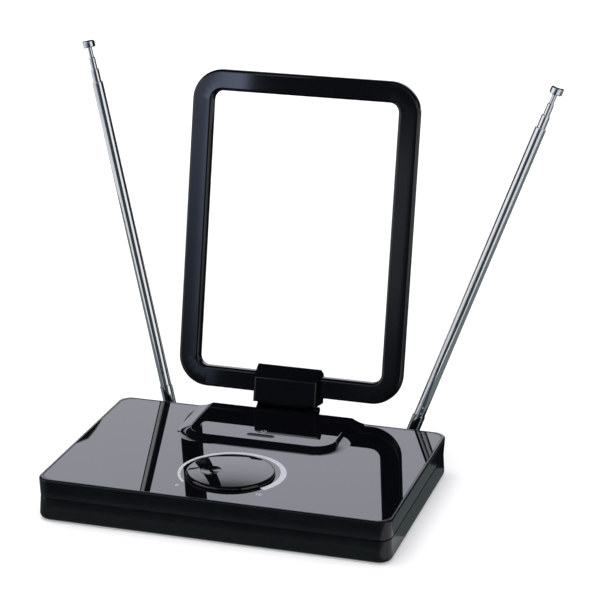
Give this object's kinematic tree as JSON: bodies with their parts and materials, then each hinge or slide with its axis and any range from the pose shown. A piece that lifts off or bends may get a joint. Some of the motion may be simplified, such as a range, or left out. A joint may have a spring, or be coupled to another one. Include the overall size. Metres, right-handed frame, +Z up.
{
  "type": "tv antenna",
  "caption": "Amplified indoor television antenna: flat weighted base with a gain knob, square loop in a tilting clip and folding telescopic rods.",
  "frame": {"origin": "on the table plane under the rubber feet, below the middle of the base", "axes": "+Z up, +X to the user's right along the base's front edge, +Y from the front edge to the rear wall with the sockets"},
  "size_m": [0.3175, 0.2043, 0.258],
  "materials": {
    "case_plastic": "satin black moulded plastic",
    "panel_gloss": "piano-black gloss",
    "loop_gloss": "black gloss",
    "clip_plastic": "black, slightly softer gloss",
    "window": "smoked translucent plastic",
    "led": "green tinted epoxy",
    "dark_plastic": "matt black",
    "board": "green glass-fibre laminate",
    "foot_rubber": "matt black",
    "weight": "bare rolled steel",
    "steel": "zinc-plated",
    "black_metal": "blackened steel",
    "plated_metal": "nickel-plated",
    "rod_chrome": "bright chrome",
    "conductor": "bare strip"
  },
  "bodies": {
    "base": {"lower_shell": "case_plastic", "upper_shell": "case_plastic", "top_panel": "panel_gloss", "light_pipe": "window", "power_led": "led", "potentiometer": "dark_plastic", "circuit_board": "board", "amplifier_shield": "steel", "board_screws": "steel", "left_weight": "weight", "right_weight": "weight", "rubber_feet": "foot_rubber", "case_screws": "steel", "coax_socket": "plated_metal", "coax_nut": "plated_metal", "power_jack": "dark_plastic", "hinge_pin": "black_metal"},
    "knob": {"gain_knob": "panel_gloss", "potentiometer_shaft": "steel"},
    "loop": {"clip_front": "clip_plastic", "clip_back": "clip_plastic", "clip_screws": "steel", "loop_front_shell": "loop_gloss", "loop_rear_shell": "loop_gloss", "loop_conductor": "conductor"},
    "left_swivel": {"left_fork": "plated_metal", "left_spring_washer": "steel", "left_swivel_nut": "steel", "left_rivet": "steel"},
    "left_rod": {"left_rod_socket": "rod_chrome", "left_tube_1": "rod_chrome"},
    "left_second_section": {"left_tube_2": "rod_chrome"},
    "left_third_section": {"left_tube_3": "rod_chrome"},
    "left_tip": {"left_tip_rod": "rod_chrome", "left_rod_cap": "rod_chrome"},
    "right_swivel": {"right_fork": "plated_metal", "right_spring_washer": "steel", "right_swivel_nut": "steel", "right_rivet": "steel"},
    "right_rod": {"right_rod_socket": "rod_chrome", "right_tube_1": "rod_chrome"},
    "right_second_section": {"right_tube_2": "rod_chrome"},
    "right_third_section": {"right_tube_3": "rod_chrome"},
    "right_tip": {"right_tip_rod": "rod_chrome", "right_rod_cap": "rod_chrome"}
  },
  "joints": [
    {"name": "gain_knob_turn", "type": "hinge", "parent": "base", "child": "knob", "pos_m": [-0.0004, -0.0312, 0.027], "axis": [0, 0, 1], "range_deg": [-249, 9]},
    {"name": "loop_tilt", "type": "hinge", "parent": "base", "child": "loop", "pos_m": [0, 0.0837, 0.0283], "axis": [1, 0, 0], "range_deg": [-75, 10]},
    {"name": "left_rod_swivel", "type": "hinge", "parent": "base", "child": "left_swivel", "pos_m": [-0.0798, 0.0882, 0.009], "axis": [0, 1, 0], "range_deg": [-75, 11]},
    {"name": "left_rod_fold", "type": "hinge", "parent": "left_swivel", "child": "left_rod", "pos_m": [-0.0798, 0.0882, 0.009], "axis": [0.9686, 0, 0.2487], "range_deg": [-85, 15]},
    {"name": "left_second_section_slide", "type": "slide", "parent": "left_rod", "child": "left_second_section", "axis": [-0.2479, 0.0802, 0.9655], "range_m": [0, 0.2]},
    {"name": "left_third_section_slide", "type": "slide", "parent": "left_second_section", "child": "left_third_section", "axis": [-0.2479, 0.0802, 0.9655], "range_m": [0, 0.206]},
    {"name": "left_tip_slide", "type": "slide", "parent": "left_third_section", "child": "left_tip", "axis": [-0.2479, 0.0802, 0.9655], "range_m": [0, 0.212]},
    {"name": "right_rod_swivel", "type": "hinge", "parent": "base", "child": "right_swivel", "pos_m": [0.0798, 0.0882, 0.009], "axis": [0, 1, 0], "range_deg": [-16, 70]},
    {"name": "right_rod_fold", "type": "hinge", "parent": "right_swivel", "child": "right_rod", "pos_m": [0.0798, 0.0882, 0.009], "axis": [0.9409, 0, -0.3387], "range_deg": [-85, 15]},
    {"name": "right_second_section_slide", "type": "slide", "parent": "right_rod", "child": "right_second_section", "axis": [0.3385, 0.0384, 0.9402], "range_m": [0, 0.2]},
    {"name": "right_third_section_slide", "type": "slide", "parent": "right_second_section", "child": "right_third_section", "axis": [0.3385, 0.0384, 0.9402], "range_m": [0, 0.206]},
    {"name": "right_tip_slide", "type": "slide", "parent": "right_third_section", "child": "right_tip", "axis": [0.3385, 0.0384, 0.9402], "range_m": [0, 0.212]}
  ]
}
